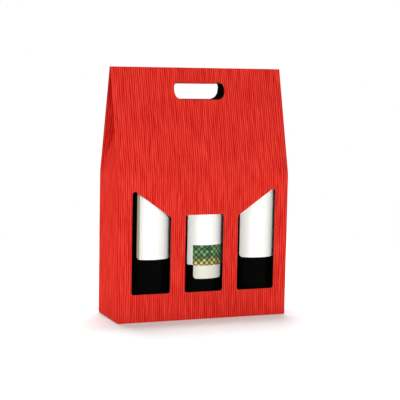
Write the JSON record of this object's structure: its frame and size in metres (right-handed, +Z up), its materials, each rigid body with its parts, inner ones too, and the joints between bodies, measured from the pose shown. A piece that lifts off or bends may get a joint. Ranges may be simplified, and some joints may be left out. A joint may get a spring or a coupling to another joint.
{
  "type": "bottle gift box",
  "caption": "Gabled carrying carton of creased red board with front windows, a grip hole through its ridge, folding gusset ends and the bottles that stand in its cells.",
  "frame": {"origin": "on the floor under the middle of the box", "axes": "+Z up, -Y out through the windowed front, +X to the right of someone who faces the windows"},
  "size_m": [0.273, 0.093, 0.377],
  "materials": {
    "printed_board": "red satin print with fine vertical silk lines",
    "plain_card": "matt black card",
    "glass": "polished, nearly black",
    "label": "uncoated paper",
    "cork": "natural cork",
    "capsule": "dark satin foil"
  },
  "bodies": {
    "carton": {"front_wall": "printed_board", "back_wall": "printed_board", "left_wall": "printed_board", "right_wall": "printed_board", "glue_flap": "printed_board", "front_base_flap": "printed_board", "back_base_flap": "printed_board", "left_base_flap": "printed_board", "right_base_flap": "printed_board", "insert_web": "plain_card", "left_partition": "plain_card", "right_partition": "plain_card"},
    "front_roof": {"front_roof_slope": "printed_board"},
    "back_roof": {"back_roof_slope": "printed_board"},
    "grip_flap": {"grip_flap": "printed_board"},
    "left_gusset": {"left_gusset_middle": "printed_board"},
    "left_gusset_front": {"left_gusset_front": "printed_board"},
    "left_gusset_back": {"left_gusset_back": "printed_board"},
    "right_gusset": {"right_gusset_middle": "printed_board"},
    "right_gusset_front": {"right_gusset_front": "printed_board"},
    "right_gusset_back": {"right_gusset_back": "printed_board"},
    "left_bottle": {"left_bottle_glass": "glass", "left_bottle_label": "label", "left_bottle_cork": "cork", "left_bottle_capsule": "capsule"},
    "middle_bottle": {"middle_bottle_glass": "glass", "middle_bottle_label": "label", "middle_bottle_cork": "cork", "middle_bottle_capsule": "capsule"},
    "right_bottle": {"right_bottle_glass": "glass", "right_bottle_label": "label", "right_bottle_cork": "cork", "right_bottle_capsule": "capsule"}
  },
  "joints": [
    {"name": "roof_opening", "type": "hinge", "parent": "carton", "child": "front_roof", "pos_m": [0, -0.0465, 0.218], "axis": [1, 0, 0], "range_deg": [0, 14.63]},
    {"name": "back_slope_fold", "type": "hinge", "parent": "carton", "child": "back_roof", "pos_m": [0, 0.0465, 0.218], "axis": [-1, 0, 0], "range_deg": [0, 14.63]},
    {"name": "left_gusset_fold", "type": "hinge", "parent": "carton", "child": "left_gusset", "pos_m": [-0.1365, 0, 0.218], "axis": [0, -1, 0], "range_deg": [0, 15.5]},
    {"name": "right_gusset_fold", "type": "hinge", "parent": "carton", "child": "right_gusset", "pos_m": [0.1365, 0, 0.218], "axis": [0, 1, 0], "range_deg": [0, 15.5]},
    {"name": "left_gusset_front_fold", "type": "hinge", "parent": "left_gusset", "child": "left_gusset_front", "pos_m": [-0.13575, -0.04403, 0.21736], "axis": [0.2582, 0.2536, 0.9322], "range_deg": [0, 91.75]},
    {"name": "left_gusset_back_fold", "type": "hinge", "parent": "left_gusset", "child": "left_gusset_back", "pos_m": [-0.13575, 0.04403, 0.21736], "axis": [-0.2582, 0.2536, -0.9322], "range_deg": [0, 91.75]},
    {"name": "right_gusset_front_fold", "type": "hinge", "parent": "right_gusset", "child": "right_gusset_front", "pos_m": [0.13575, -0.04403, 0.21736], "axis": [0.2582, -0.2536, -0.9322], "range_deg": [0, 91.75]},
    {"name": "right_gusset_back_fold", "type": "hinge", "parent": "right_gusset", "child": "right_gusset_back", "pos_m": [0.13575, 0.04403, 0.21736], "axis": [-0.2582, -0.2536, 0.9322], "range_deg": [0, 91.75]},
    {"name": "grip_flap_swing", "type": "hinge", "parent": "front_roof", "child": "grip_flap", "pos_m": [0, -0.00894, 0.35599], "axis": [1, 0, 0], "range_deg": [-100.6, 0]},
    {"name": "left_bottle_turn", "type": "hinge", "parent": "carton", "child": "left_bottle", "pos_m": [-0.0798, -0.0045, 0.0036], "axis": [0, 0, 1], "continuous": true},
    {"name": "middle_bottle_turn", "type": "hinge", "parent": "carton", "child": "middle_bottle", "pos_m": [0.0059, -0.0045, 0.0018], "axis": [0, 0, 1], "continuous": true},
    {"name": "right_bottle_turn", "type": "hinge", "parent": "carton", "child": "right_bottle", "pos_m": [0.093, -0.0045, 0.0036], "axis": [0, 0, 1], "continuous": true}
  ],
  "couplings": [
    {"joint": "back_slope_fold", "follows": "roof_opening", "ratio": 1},
    {"joint": "left_gusset_fold", "follows": "roof_opening", "ratio": 1.0597},
    {"joint": "right_gusset_fold", "follows": "roof_opening", "ratio": 1.0597},
    {"joint": "left_gusset_front_fold", "follows": "roof_opening", "ratio": 6.2718},
    {"joint": "left_gusset_back_fold", "follows": "roof_opening", "ratio": 6.2718},
    {"joint": "right_gusset_front_fold", "follows": "roof_opening", "ratio": 6.2718},
    {"joint": "right_gusset_back_fold", "follows": "roof_opening", "ratio": 6.2718}
  ]
}
